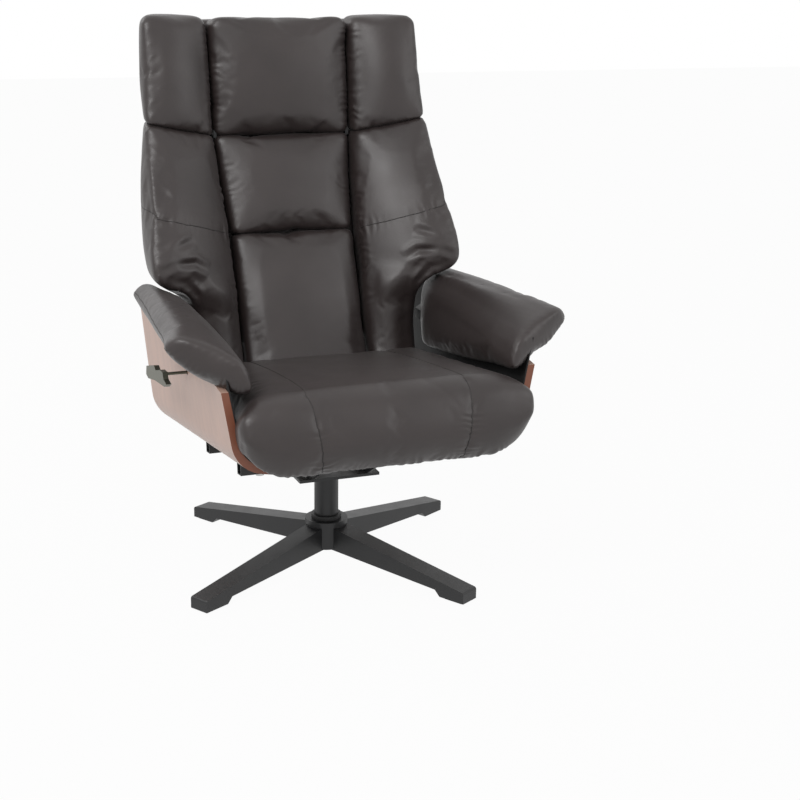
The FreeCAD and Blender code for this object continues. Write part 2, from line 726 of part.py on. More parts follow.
def back_cushions():
    gap = cell("soft_gap") / 2
    half = cell("panel_half")
    foot = layer("foot", 0)
    roll = (foot[0] - 39, foot[1] - 42)
    lumbar = side_slab("lumbar", [
        foot, layer("lumbar", 0, -gap), layer("lumbar", cushion_back, -gap - cell("layer_drop")),
        lie("foot", cushion_back), (foot[0] + 5, foot[1] - 55), roll,
    ], -half, half)
    keep(lumbar, "lumbar_cushion")
    top = cell("hinge_height") - gap
    front = face_line("hinge")[0]
    upper = side_slab("upper", [
        layer("lumbar", 0, gap), (front, top - wedge(front)), (cell("hinge_depth"), top),
        layer("hinge", cushion_back, -gap), layer("lumbar", cushion_back, gap - cell("layer_drop")),
    ], -half, half)
    keep(upper, "upper_back_cushion")
    sides = both_sides("back_side", [
        (foot[0] - 2, foot[1] + 1), (along(*(face_line(k)[0] for k in ("foot", "lumbar")), 0.75) - 12,
                                      cell("wing_bottom") - gap),
        layer("lumbar", cushion_back - 20, -cell("lumbar_height") + cell("wing_bottom") - gap),
        layer("foot", cushion_back, 0),
    ], half + gap, cell("back_low_half"))
    for piece, end in zip(sides, ("left", "right")):
        keep(piece, f"back_side_{end}")


def loft_wing(label, side, inner, outer, low, high):
    """A wing between a side outline next to the middle panel and one at its outer edge."""
    body = new_body(label)
    near = new_sketch(body, "YZ_Plane", low * side)
    polygon(near, inner)
    far = new_sketch(body, "YZ_Plane", high * side)
    polygon(far, outer)
    loft = body.newObject("PartDesign::AdditiveLoft", label + "_loft")
    loft.Profile = near
    loft.Sections = [far]
    loft.Ruled = True
    return keep(body, label)


def wings():
    gap = cell("soft_gap") / 2
    low = cell("panel_half") + cell("ear_thickness") * 2 + cell("ear_gap") * 3
    hinge = cell("hinge_depth")
    height = cell("hinge_height")
    rear = layer("hinge", cushion_back, -gap)
    bottom = cell("wing_bottom") + gap
    lumbar = cell("lumbar_depth")
    front = face_line("hinge")[0]
    reach = cell("wing_reach")
    below = [(lumbar - 24, bottom), (front, height - gap - wedge(front)), (hinge, height - gap),
             rear, (lumbar + 40, bottom)]
    below_out = [(lumbar - reach, bottom + 8), (front - 48, height - gap - wedge(front - 48)),
                 (hinge, height - gap),
                 (rear[0] - 12, rear[1]), (lumbar + 40, bottom + 8)]
    top_y, top_z = face_line("top")
    above = [(front, height + gap + wedge(front)), (top_y, top_z - 8, 14),
             (top_y + cushion_back, top_z - 8),
             (rear[0], height + gap), (hinge, height + gap)]
    above_out = [(front - 48, height + gap + wedge(front - 48)), (top_y - 22, top_z - 16, 14),
                 (top_y + cushion_back - 20, top_z - 16), (rear[0] - 12, height + gap),
                 (hinge, height + gap)]
    for side, end in ((-1, "left"), (1, "right")):
        loft_wing(f"back_wing_{end}", side, below, below_out, low, cell("wing_half"))
        loft_wing(f"head_wing_{end}", side, above, above_out, low, cell("head_half"))


def hinge_plate(side, up, offset):
    """A steel ear from the hinge pin to the panel behind it, in the channel beside the middle panel."""
    thickness = cell("ear_thickness")
    near = cell("panel_half") + cell("ear_gap") + offset
    low = near if side > 0 else -near - thickness
    y, z = cell("hinge_depth"), cell("hinge_height")
    rear = face_line("hinge")[0] + frame_front
    panel_end = layer("top", frame_front) if up > 0 else lie("lumbar", frame_front)
    root = between(layer("hinge", frame_front), panel_end, 0.17)
    return side_slab(f"ear_{side + 1}_{up + 1}", [
        (y - 9, z + up * 9, 5), (y - 9, z - up * 9, 5), (y + 9, z - up * 9, 5), (y + 14, z + up * 2),
        (rear + 2, z + up * 2), (root[0] + 1, root[1]), (y + 14, z + up * 24)], low, low + thickness)


def back_structure():
    half = cell("frame_half")
    front_foot = between(lie("foot", frame_front), lie("lumbar", frame_front), 0.15)
    rear_foot = between(lie("foot", frame_back), lie("lumbar", frame_back), 0.15)
    panel = side_slab("back_panel", [
        front_foot, lie("lumbar", frame_front), layer("hinge", frame_front, -1),
        layer("hinge", frame_back, -1), lie("lumbar", frame_back), rear_foot,
    ], -half, half)
    thickness = cell("bracket_thickness")
    outer = cell("board_half") - cell("side_gap")
    arms = both_sides("recline_arm", [
        (pivot[0] - 14, pivot[1] - 14, 10), (pivot[0] + 14, pivot[1] - 14, 10), rear_foot,
        between(rear_foot, lie("lumbar", frame_back), 0.3),
        between(front_foot, lie("lumbar", frame_front), 0.3),
        front_foot, (pivot[0] - 14, pivot[1] + 14, 10),
    ], outer - thickness, outer)
    parts = [panel] + list(arms) + [hinge_plate(side, -1, 0) for side in (-1, 1)]
    running = cell("running_gap")
    bores = fuse("back_bores", [
        across("recline_bore", cell("pivot_radius") + running, -half, half * 2, *pivot),
        across("head_bore", cell("hinge_radius") + running, -half, half * 2,
               cell("hinge_depth"), cell("hinge_height"))])
    blank = fuse("back_frame_fused", parts)
    keep(cut("back_frame_cut", blank, bores), "back_frame")
    half_cover = cell("back_low_half") - 2
    waist_front = between(lie("foot", cover_front), lie("lumbar", cover_front), 0.86)
    waist_back = between(lie("foot", cover_back), lie("lumbar", cover_back), 0.86)
    lower = side_slab("cover_lower", [
        between(lie("foot", cover_front), lie("lumbar", cover_front), 0.18), waist_front, waist_back,
        between(lie("foot", cover_back), lie("lumbar", cover_back), 0.18)], -half_cover, half_cover)
    top_gap = cell("soft_gap") / 2
    upper = side_slab("cover_upper", [
        waist_front, lie("lumbar", cover_front), layer("hinge", cover_front, -top_gap),
        layer("hinge", cover_back, -top_gap), lie("lumbar", cover_back), waist_back],
        -cell("head_half"), cell("head_half"))
    keep(fuse("back_cover_fused", [lower, upper]), "back_cover")


def headrest():
    gap = cell("soft_gap") / 2
    half = cell("panel_half")
    height = cell("hinge_height")
    front = face_line("hinge")[0]
    keep(side_slab("head", [
        (front, height + gap + wedge(front)), layer("top", 0, -6) + (18,), layer("top", cushion_back, -2),
        layer("hinge", cushion_back, gap), (cell("hinge_depth"), height + gap),
    ], -half, half), "head_cushion")
    panel = side_slab("head_panel", [
        between(lie("hinge", frame_front), lie("top", frame_front), 0.01),
        between(lie("hinge", frame_front), lie("top", frame_front), 0.93),
        between(lie("hinge", frame_back), lie("top", frame_back), 0.93),
        between(lie("hinge", frame_back), lie("top", frame_back), 0.01),
    ], -cell("frame_half"), cell("frame_half"))
    parts = [panel]
    step = cell("ear_thickness") + cell("ear_gap")
    for side in (-1, 1):
        parts.append(hinge_plate(side, 1, step))
        near = cell("panel_half") + cell("ear_gap")
        length = step + cell("ear_thickness")
        low = near if side > 0 else -near - length
        parts.append(across(f"head_pin_{side + 1}", cell("hinge_radius"), low, length,
                            cell("hinge_depth"), height))
    keep(fuse("head_frame_fused", parts), "head_frame")
    keep(side_slab("head_cover", [
        layer("hinge", cover_front, gap), lie("top", cover_front), lie("top", cover_back) + (8,),
        layer("hinge", cover_back, gap)], -cell("head_half") + 6, cell("head_half") - 6), "head_cover")


# ---------------------------------------------------------------- release lever


def lever():
    y, z = cell("lever_pivot"), cell("lever_height")
    thickness = cell("bracket_thickness")
    inner = cell("lever_in")
    rod_y = y + cell("lever_reach")
    bar = box("lever_bar", -inner - thickness, y - 9, z - 7, thickness, cell("lever_reach") + 16, 14)
    rod = across("lever_rod", cell("lever_rod"), -cell("lever_out"), cell("lever_out") - inner, rod_y, z)
    hole = across("lever_hole", cell("pivot_radius") + cell("running_gap"), -inner - thickness - 1,
                  thickness + 2, y, z)
    keep(cut("lever_arm_cut", fuse("lever_arm_fused", [bar, rod]), hole), "lever_arm")
    plate_x = -inner - thickness - cell("side_gap")
    plate_width = 12
    blank = box("lever_plate", plate_x - plate_width, y - 18, z - 18, plate_width, 36, 32)
    plate = cut_all("lever_plate_cut", blank,
                    [doc.getObject("shell_cut_left"), doc.getObject("liner_cut_left")])
    pin = across("lever_pin", cell("pivot_radius"), plate_x, thickness + cell("side_gap") + 3, y, z)
    keep(fuse("lever_bracket_fused", [plate, pin]), "lever_bracket")
    outside = -cell("lever_out")
    grip = side_slab("lever_grip", HANDLE_OUTLINE, outside - cell("handle_thickness"), outside)
    keep(grip, "lever_handle")


def main():
    base_star()
    floor_glides()
    column()
    swivel_head()
    cross_tubes()
    seat_rails()
    side_shells()
    arm_brackets()
    shell_fasteners()
    lock_strut()
    seat_board()
    seat_runners()
    pivot_brackets()
    seat_cushion()
    back_cushions()
    wings()
    back_structure()
    headrest()
    lever()
    doc.recompute()
    for thing in doc.Objects:
        if "Invalid" in thing.State or "Error" in thing.State:
            raise RuntimeError(f"{thing.Name} failed: {thing.State}")
    for node in NODES:
        if node.Shape.isNull() or not node.Shape.isValid():
            raise RuntimeError(f"{node.Label} has no valid shape")
    os.makedirs("parts", exist_ok=True)
    for node in NODES:
        node.Shape.exportStep(f"parts/{node.Label}.step")
        bounds = node.Shape.BoundBox
        corners = (bounds.XMin, bounds.XMax, bounds.YMin, bounds.YMax, bounds.ZMin, bounds.ZMax)
        print(node.Label, len(node.Shape.Solids), [round(size, 1) for size in corners])


main()
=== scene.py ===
import json
import math

import bmesh
import bpy
import numpy
from mathutils import Matrix, Vector, noise


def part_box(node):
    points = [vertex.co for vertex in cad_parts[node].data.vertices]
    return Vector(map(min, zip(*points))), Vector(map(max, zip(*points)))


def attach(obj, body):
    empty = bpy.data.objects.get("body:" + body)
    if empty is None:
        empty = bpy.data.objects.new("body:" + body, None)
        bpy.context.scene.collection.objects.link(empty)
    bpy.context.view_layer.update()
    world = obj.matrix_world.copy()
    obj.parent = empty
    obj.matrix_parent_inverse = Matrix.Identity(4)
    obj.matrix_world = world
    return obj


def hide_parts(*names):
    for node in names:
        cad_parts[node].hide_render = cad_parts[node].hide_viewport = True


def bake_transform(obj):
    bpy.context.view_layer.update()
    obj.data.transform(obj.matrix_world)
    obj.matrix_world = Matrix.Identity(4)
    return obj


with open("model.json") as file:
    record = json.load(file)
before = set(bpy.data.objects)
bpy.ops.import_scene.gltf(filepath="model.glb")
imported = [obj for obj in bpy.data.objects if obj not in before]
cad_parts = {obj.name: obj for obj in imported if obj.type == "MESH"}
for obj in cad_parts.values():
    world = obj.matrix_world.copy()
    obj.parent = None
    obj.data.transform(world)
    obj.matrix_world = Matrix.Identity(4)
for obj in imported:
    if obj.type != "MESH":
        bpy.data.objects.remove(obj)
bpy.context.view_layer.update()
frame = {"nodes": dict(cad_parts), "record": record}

scene = bpy.context.scene
scene.view_settings.view_transform = "Standard"
COLLECTION = scene.collection


# ---------------------------------------------------------------- camera, lights and floor

LENS = 69.1
CAMERA_PLACE = (-0.9796, -2.8451, 1.2315)
CAMERA_HEADING = math.radians(21.86)
CAMERA_PITCH = math.radians(16.43)
CAMERA_ROLL = math.radians(0.88)


def add_camera():
    data = bpy.data.cameras.new("camera")
    data.lens = LENS
    data.sensor_width = 36
    camera = bpy.data.objects.new("camera", data)
    COLLECTION.objects.link(camera)
    flat = math.cos(CAMERA_PITCH)
    forward = Vector((math.sin(CAMERA_HEADING) * flat, math.cos(CAMERA_HEADING) * flat, -math.sin(CAMERA_PITCH)))
    right = Vector((math.cos(CAMERA_HEADING), -math.sin(CAMERA_HEADING), 0))
    up = right.cross(forward)
    right_rolled = right * math.cos(CAMERA_ROLL) + up * math.sin(CAMERA_ROLL)
    up_rolled = up * math.cos(CAMERA_ROLL) - right * math.sin(CAMERA_ROLL)
    turn = Matrix((right_rolled, up_rolled, -forward)).transposed().to_4x4()
    camera.matrix_world = Matrix.Translation(CAMERA_PLACE) @ turn
    scene.camera = camera


def add_area(name, place, target, size, power):
    data = bpy.data.lights.new(name, "AREA")
    data.shape = "RECTANGLE"
    data.size, data.size_y = size
    data.energy = power
    lamp = bpy.data.objects.new(name, data)
    COLLECTION.objects.link(lamp)
    lamp.location = place
    lamp.rotation_euler = (Vector(target) - Vector(place)).to_track_quat("-Z", "Y").to_euler()


def white_to_camera(nodes, links, shader, output, strength, colour):
    """Camera, glossy and transmission rays see a plain bright colour in place of the shader."""
    path = nodes.new("ShaderNodeLightPath")
    first = nodes.new("ShaderNodeMath")
    first.operation = "MAXIMUM"
    second = nodes.new("ShaderNodeMath")
    second.operation = "MAXIMUM"
    links.new(path.outputs["Is Camera Ray"], first.inputs[0])
    links.new(path.outputs["Is Glossy Ray"], first.inputs[1])
    links.new(first.outputs[0], second.inputs[0])
    links.new(path.outputs["Is Transmission Ray"], second.inputs[1])
    mix = nodes.new("ShaderNodeMixShader")
    for_world = output.bl_idname == "ShaderNodeOutputWorld"
    bright = nodes.new("ShaderNodeBackground" if for_world else "ShaderNodeEmission")
    bright.inputs["Color"].default_value = colour
    bright.inputs["Strength"].default_value = strength
    links.new(second.outputs[0], mix.inputs[0])
    links.new(shader, mix.inputs[1])
    links.new(bright.outputs[0], mix.inputs[2])
    return mix, second


def add_world():
    world = bpy.data.worlds.new("studio")
    scene.world = world
    world.use_nodes = True
    nodes, links = world.node_tree.nodes, world.node_tree.links
    nodes.clear()
    output = nodes.new("ShaderNodeOutputWorld")
    soft = nodes.new("ShaderNodeBackground")
    soft.inputs["Color"].default_value = (1, 1, 1, 1)
    soft.inputs["Strength"].default_value = 0.5
    mix, _ = white_to_camera(nodes, links, soft.outputs[0], output, 1.0, (1, 1, 1, 1))
    links.new(mix.outputs[0], output.inputs["Surface"])


def add_floor():
    size = 12
    mesh = bpy.data.meshes.new("floor")
    mesh.from_pydata([(-size, -size, 0), (size, -size, 0), (size, size, 0), (-size, size, 0)], [], [(0, 1, 2, 3)])
    floor = bpy.data.objects.new("floor", mesh)
    COLLECTION.objects.link(floor)
    floor.location.z = -0.0005
    material = bpy.data.materials.new("floor")
    material.use_nodes = True
    nodes, links = material.node_tree.nodes, material.node_tree.links
    shader = nodes["Principled BSDF"]
    shader.inputs["Base Color"].default_value = (0.55, 0.55, 0.55, 1)
    shader.inputs["Roughness"].default_value = 0.9
    output = nodes["Material Output"]
    mix, ray = white_to_camera(nodes, links, shader.outputs[0], output, 1.0, (1, 1, 1, 1))
    share = nodes.new("ShaderNodeMath")
    share.operation = "MULTIPLY"
    share.inputs[1].default_value = 0.96
    links.new(ray.outputs[0], share.inputs[0])
    links.new(share.outputs[0], mix.inputs[0])
    links.new(mix.outputs[0], output.inputs["Surface"])
    mesh.materials.append(material)


def add_lights():
    add_area("key", (-1.8, -1.6, 2.6), (0, 0, 0.6), (1.4, 1.4), 46)
    add_area("fill", (2.2, -1.8, 1.8), (0, 0, 0.6), (1.6, 1.6), 12)
    add_area("rim", (-1.6, 1.8, 2.2), (0, 0.1, 0.8), (1.4, 1.4), 12)


# ---------------------------------------------------------------- materials


def new_material(name, colour, roughness, metallic=0.0):
    material = bpy.data.materials.new(name)
    material.use_nodes = True
    shader = material.node_tree.nodes["Principled BSDF"]
    shader.inputs["Base Color"].default_value = (*colour, 1)
    shader.inputs["Roughness"].default_value = roughness
    shader.inputs["Metallic"].default_value = metallic
    return material, material.node_tree.nodes, material.node_tree.links, shader


def object_space(nodes, links, scale=(1, 1, 1)):
    coordinates = nodes.new("ShaderNodeTexCoord")
    mapping = nodes.new("ShaderNodeMapping")
    mapping.inputs["Scale"].default_value = scale
    links.new(coordinates.outputs["Object"], mapping.inputs["Vector"])
    return mapping.outputs["Vector"]


def noise_node(nodes, links, vector, scale, detail=4, roughness=0.5):
    node = nodes.new("ShaderNodeTexNoise")
    node.inputs["Scale"].default_value = scale
    node.inputs["Detail"].default_value = detail
    node.inputs["Roughness"].default_value = roughness
    links.new(vector, node.inputs["Vector"])
    return node.outputs["Fac"]


def ramp(nodes, links, value, stops):
    node = nodes.new("ShaderNodeValToRGB")
    while len(node.color_ramp.elements) < len(stops):
        node.color_ramp.elements.new(0.5)
    for element, (place, colour) in zip(node.color_ramp.elements, stops):
        element.position = place
        element.color = (*colour, 1)
    links.new(value, node.inputs["Fac"])
    return node.outputs["Color"]


def span(nodes, links, value, low, high):
    node = nodes.new("ShaderNodeMapRange")
    node.inputs["To Min"].default_value = low
    node.inputs["To Max"].default_value = high
    links.new(value, node.inputs["Value"])
    return node.outputs["Result"]


def bump(nodes, links, height, distance, strength, before=None):
    node = nodes.new("ShaderNodeBump")
    node.inputs["Distance"].default_value = distance
    node.inputs["Strength"].default_value = strength
    links.new(height, node.inputs["Height"])
    if before is not None:
        links.new(before, node.inputs["Normal"])
    return node.outputs["Normal"]


def leather_material(name="leather"):
    """Dark brown top-grain leather: pebbled grain, soft sheen, slightly polished high spots."""
    material, nodes, links, shader = new_material(name, (0.028, 0.0225, 0.022), 0.4)
    vector = object_space(nodes, links)
    cloud = noise_node(nodes, links, vector, 9, 5)
    colour = ramp(nodes, links, cloud, [(0.3, (0.0215, 0.0150, 0.0142)), (0.7, (0.0310, 0.0225, 0.0215))])
    links.new(colour, shader.inputs["Base Color"])
    cells = nodes.new("ShaderNodeTexVoronoi")
    cells.feature = "DISTANCE_TO_EDGE"
    cells.inputs["Scale"].default_value = 620
    links.new(vector, cells.inputs["Vector"])
    grain = span(nodes, links, cells.outputs["Distance"], 0, 1)
    fine = noise_node(nodes, links, vector, 950, 3, 0.6)
    polish = noise_node(nodes, links, vector, 26, 4)
    links.new(span(nodes, links, polish, 0.36, 0.47), shader.inputs["Roughness"])
    normal = bump(nodes, links, grain, 0.0006, 0.22)
    normal = bump(nodes, links, fine, 0.0003, 0.18, normal)
    crease = noise_node(nodes, links, vector, 34, 6, 0.62)
    normal = bump(nodes, links, crease, 0.0012, 0.10, normal)
    links.new(normal, shader.inputs["Normal"])
    shader.inputs["Specular IOR Level"].default_value = 0.6
    shader.inputs["Sheen Weight"].default_value = 0.05
    shader.inputs["Sheen Roughness"].default_value = 0.45
    return material


def thread_material():
    material, nodes, links, shader = new_material("seam_thread", (0.016, 0.013, 0.012), 0.6)
    vector = object_space(nodes, links)
    twist = noise_node(nodes, links, vector, 900, 2)
    links.new(bump(nodes, links, twist, 0.0004, 0.5), shader.inputs["Normal"])
    return material


def veneer_material(name, light, dark, roughness, edge=None):
    """Satin veneer with a fine upright grain and small dark pores. edge colours the front-facing cut ply."""
    material, nodes, links, shader = new_material(name, light, roughness)
    vector = object_space(nodes, links, (9, 9, 1.1))
    wave = noise_node(nodes, links, vector, 6, 8, 0.65)
    pore_vector = object_space(nodes, links, (60, 60, 2.2))
    pores = noise_node(nodes, links, pore_vector, 11, 4, 0.6)
    colour = ramp(nodes, links, wave, [(0.3, dark), (0.72, light)])
    mix = nodes.new("ShaderNodeMix")
    mix.data_type = "RGBA"
    mix.blend_type = "MULTIPLY"
    links.new(span(nodes, links, pores, 0.0, 0.45), mix.inputs["Factor"])
    links.new(colour, mix.inputs["A"])
    mix.inputs["B"].default_value = (0.72, 0.62, 0.58, 1)
    links.new(mix.outputs["Result"], shader.inputs["Base Color"])
    if edge:
        geometry = nodes.new("ShaderNodeTexCoord")
        split = nodes.new("ShaderNodeSeparateXYZ")
        links.new(geometry.outputs["Normal"], split.inputs[0])
        facing = nodes.new("ShaderNodeMath")
        facing.operation = "LESS_THAN"
        facing.inputs[1].default_value = -0.6
        links.new(split.outputs["Y"], facing.inputs[0])
        ends = nodes.new("ShaderNodeMix")
        ends.data_type = "RGBA"
        links.new(facing.outputs[0], ends.inputs["Factor"])
        links.new(mix.outputs["Result"], ends.inputs["A"])
        ends.inputs["B"].default_value = (*edge, 1)
        links.new(ends.outputs["Result"], shader.inputs["Base Color"])
    links.new(bump(nodes, links, pores, 0.0004, 0.12), shader.inputs["Normal"])
    links.new(span(nodes, links, wave, roughness - 0.06, roughness + 0.08), shader.inputs["Roughness"])
    shader.inputs["Coat Weight"].default_value = 0.25
    shader.inputs["Coat Roughness"].default_value = 0.3
    return material


def powder_material(name, colour, roughness, scale=1400):
    """Powder coat: a fine orange-peel texture over steel."""
    material, nodes, links, shader = new_material(name, colour, roughness)
    vector = object_space(nodes, links)
    peel = noise_node(nodes, links, vector, scale, 3)
    links.new(bump(nodes, links, peel, 0.0003, 0.35), shader.inputs["Normal"])
    worn = noise_node(nodes, links, vector, 24, 5)
    links.new(span(nodes, links, worn, roughness - 0.07, roughness + 0.09), shader.inputs["Roughness"])
    return material


def metal_material(name, colour, roughness):
    material, nodes, links, shader = new_material(name, colour, roughness, 1.0)
    vector = object_space(nodes, links, (1, 8, 1))
    brushed = noise_node(nodes, links, vector, 160, 4)
    links.new(span(nodes, links, brushed, roughness - 0.08, roughness + 0.1), shader.inputs["Roughness"])
    links.new(bump(nodes, links, brushed, 0.0002, 0.12), shader.inputs["Normal"])
    return material


add_camera()
add_world()
add_floor()
add_lights()
LEATHER = leather_material()
THREAD = thread_material()
VENEER = veneer_material("veneer", (0.60, 0.405, 0.325), (0.49, 0.32, 0.255), 0.42, (0.22, 0.07, 0.034))
BLACK_STEEL = powder_material("black_steel", (0.008, 0.0082, 0.009), 0.42)
LINER = powder_material("liner", (0.006, 0.006, 0.006), 0.75, 800)
PLASTIC = powder_material("black_plastic", (0.012, 0.012, 0.012), 0.5, 700)
LEVER = metal_material("lever_metal", (0.13, 0.13, 0.1), 0.42)
ZINC = metal_material("zinc_steel", (0.5, 0.5, 0.49), 0.3)
PLYWOOD = veneer_material("plywood", (0.5, 0.36, 0.22), (0.38, 0.26, 0.15), 0.6)


def dress_nodes():
    """Gives each CAD node its procedural material."""
    finish = {"veneer": VENEER, "liner": LINER, "black_steel": BLACK_STEEL, "black_plastic": PLASTIC,
              "lever_metal": LEVER, "steel": ZINC, "plywood": PLYWOOD, "leather": LEATHER}
    slots = {part["node"]: part["material_slot"] for part in frame["record"]["subparts"]}
    for name, node in frame["nodes"].items():
        for slot in node.material_slots:
            slot.material = finish[slots[name]]


# ---------------------------------------------------------------- soft solids


def blend_points(first, last, share):
    return first + (last - first) * share


def smooth_track(values, places, at):
    """A Catmull-Rom track through values set at places, read at one place."""
    last = len(places) - 1
    index = 0
    while index < last - 1 and at > places[index + 1]:
        index += 1
    span_length = places[index + 1] - places[index]
    share = (at - places[index]) / span_length
    before = values[max(index - 1, 0)]
    first, second = values[index], values[index + 1]
    after = values[min(index + 2, last)]
    step_before = places[index + 1] - places[max(index - 1, 0)]
    step_after = places[min(index + 2, last)] - places[index]
    slope_first = (second - before) * (span_length / step_before)
    slope_second = (after - first) * (span_length / step_after)
    square, cube = share * share, share ** 3
    return (first * (2 * cube - 3 * square + 1) + slope_first * (cube - 2 * square + share)
            + second * (3 * square - 2 * cube) + slope_second * (cube - square))


def rounded_outline(corners, radii, crowns, per_side, per_corner):
    """A closed outline through four or more corners, with round corners and crowned sides."""
    count = len(corners)
    centre = sum(corners, Vector()) / count
    points = []
    for index in range(count):
        here, after = corners[index], corners[(index + 1) % count]
        before = corners[index - 1]
        reach_in = min(radii[index], (here - before).length * 0.48)
        reach_out = min(radii[index], (after - here).length * 0.48)
        enter = here + (before - here).normalized() * reach_in
        leave = here + (after - here).normalized() * reach_out
        for step in range(per_corner + 1):
            share = step / per_corner
            bend = enter * (1 - share) ** 2 + here * 2 * share * (1 - share) + leave * share ** 2
            points.append((bend, index, 0))
        next_reach = min(radii[(index + 1) % count], (after - here).length * 0.48)
        stop = after + (here - after).normalized() * next_reach
        middle = (here + after) / 2
        outward = middle - centre
        along = (after - here).normalized()
        outward = (outward - along * outward.dot(along)).normalized()
        for step in range(1, per_side):
            share = step / per_side
            lift = crowns[index] * math.sin(math.pi * share) ** 0.8
            points.append((blend_points(leave, stop, share) + outward * lift, index, lift))
    return [point for point, _, _ in points], centre


def soft_loft(name, places, tracks, radii, crowns, end_rounds, rings=40, per_side=14, per_corner=6):
    """A stuffed form lofted through outlines. tracks holds one list of points per corner."""
    mesh = bmesh.new()
    length = sum((tracks[0][k + 1] - tracks[0][k]).length for k in range(len(places) - 1))
    rows = []
    for ring in range(rings + 1):
        share = 0.5 - 0.5 * math.cos(math.pi * ring / rings)
        share = 0.55 * share + 0.45 * ring / rings
        at = places[0] + (places[-1] - places[0]) * share
        corners = [smooth_track(track, places, at) for track in tracks]
        swell = math.sin(math.pi * min(max(share, 0.0), 1.0)) ** 0.5
        outline, centre = rounded_outline(corners, radii, [crown * swell for crown in crowns],
                                          per_side, per_corner)
        inset = 0.0
        for gap, round_off in ((share * length, end_rounds[0]), ((1 - share) * length, end_rounds[1])):
            if gap < round_off:
                inset = round_off * (1 - math.sqrt(max(0.0, 1 - (1 - gap / round_off) ** 2)))
        row = []
        for point in outline:
            inward = centre - point
            row.append(mesh.verts.new(point + inward * min(0.9, inset / inward.length)))
        rows.append(row)
    count = len(rows[0])
    for low, high in zip(rows, rows[1:]):
        for index in range(count):
            after = (index + 1) % count
            mesh.faces.new((low[index], low[after], high[after], high[index]))
    for row in (rows[0], rows[-1]):
        middle = mesh.verts.new(sum((vert.co for vert in row), Vector()) / count)
        for index in range(count):
            mesh.faces.new((row[index], row[(index + 1) % count], middle))
    bmesh.ops.recalc_face_normals(mesh, faces=mesh.faces)
    data = bpy.data.meshes.new(name)
    mesh.to_mesh(data)
    mesh.free()
    piece = bpy.data.objects.new(name, data)
    COLLECTION.objects.link(piece)
    return piece


def bake_modifiers(piece):
    """Keeps the mesh as its modifiers leave it."""
    graph = bpy.context.evaluated_depsgraph_get()
    mesh = bpy.data.meshes.new_from_object(piece.evaluated_get(graph))
    piece.modifiers.clear()
    old = piece.data
    piece.data = mesh
    bpy.data.meshes.remove(old)


def remesh(piece, size):
    modifier = piece.modifiers.new("remesh", "REMESH")
    modifier.mode = "VOXEL"
    modifier.voxel_size = size
    bake_modifiers(piece)
    modifier = piece.modifiers.new("even", "SMOOTH")
    modifier.iterations = 4
    modifier.factor = 0.5
    bake_modifiers(piece)


def finish_soft(piece, nodes):
    for polygon in piece.data.polygons:
        polygon.use_smooth = True
    piece.data.materials.clear()
    piece.data.materials.append(LEATHER)
    if nodes:
        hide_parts(*nodes)
    return piece


SOFT = []


def soft(piece, voxel=0.006):
    remesh(piece, voxel)
    SOFT.append(piece)
    return piece


def mirrored(points):
    return [Vector((-point.x, point.y, point.z)) for point in points]


def vectors(*triples):
    return [Vector(triple) for triple in triples]


# ---------------------------------------------------------------- where things are

SEAT_LOW, SEAT_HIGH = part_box("seat_cushion")
HEAD_LOW, HEAD_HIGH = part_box("head_cushion")
FRONT = SEAT_LOW[1]
CREST = SEAT_HIGH[2]
TOP = HEAD_HIGH[2]


def middle_panels():
    """The three panels between the wings: lumbar, upper back and head."""
    panels = {
        "lumbar_panel": (
            [(0.139, 0.066, 0.362, 0.045), (0.139, 0.100, 0.404, 0.07), (0.137, 0.149, 0.52, 0.08),
             (0.136, 0.207, 0.656, 0.075)], (0.018, 0.013), 0.013),
        "upper_panel": (
            [(0.136, 0.208, 0.653, 0.075), (0.144, 0.247, 0.755, 0.08), (0.152, 0.280, 0.852, 0.07)],
            (0.014, 0.013), 0.014),
        "head_panel": (
            [(0.152, 0.280, 0.848, 0.07), (0.153, 0.287, 0.955, 0.08), (0.152, 0.297, TOP + 0.003, 0.075)],
            (0.014, 0.022), 0.017),
    }
    result = {}
    for name, (stations, end_rounds, crown) in panels.items():
        tracks = [
            [Vector((-half, y, z)) for half, y, z, depth in stations],
            [Vector((half, y, z)) for half, y, z, depth in stations],
            [Vector((half, y + depth, z - 0.012)) for half, y, z, depth in stations],
            [Vector((-half, y + depth, z - 0.012)) for half, y, z, depth in stations],
        ]
        places = [station[2] for station in stations]
        loft = soft_loft(name, places, tracks, [0.024, 0.024, 0.010, 0.010], [crown, 0, 0, 0],
                         end_rounds, per_side=24)
        result[name] = soft(loft)
    return result


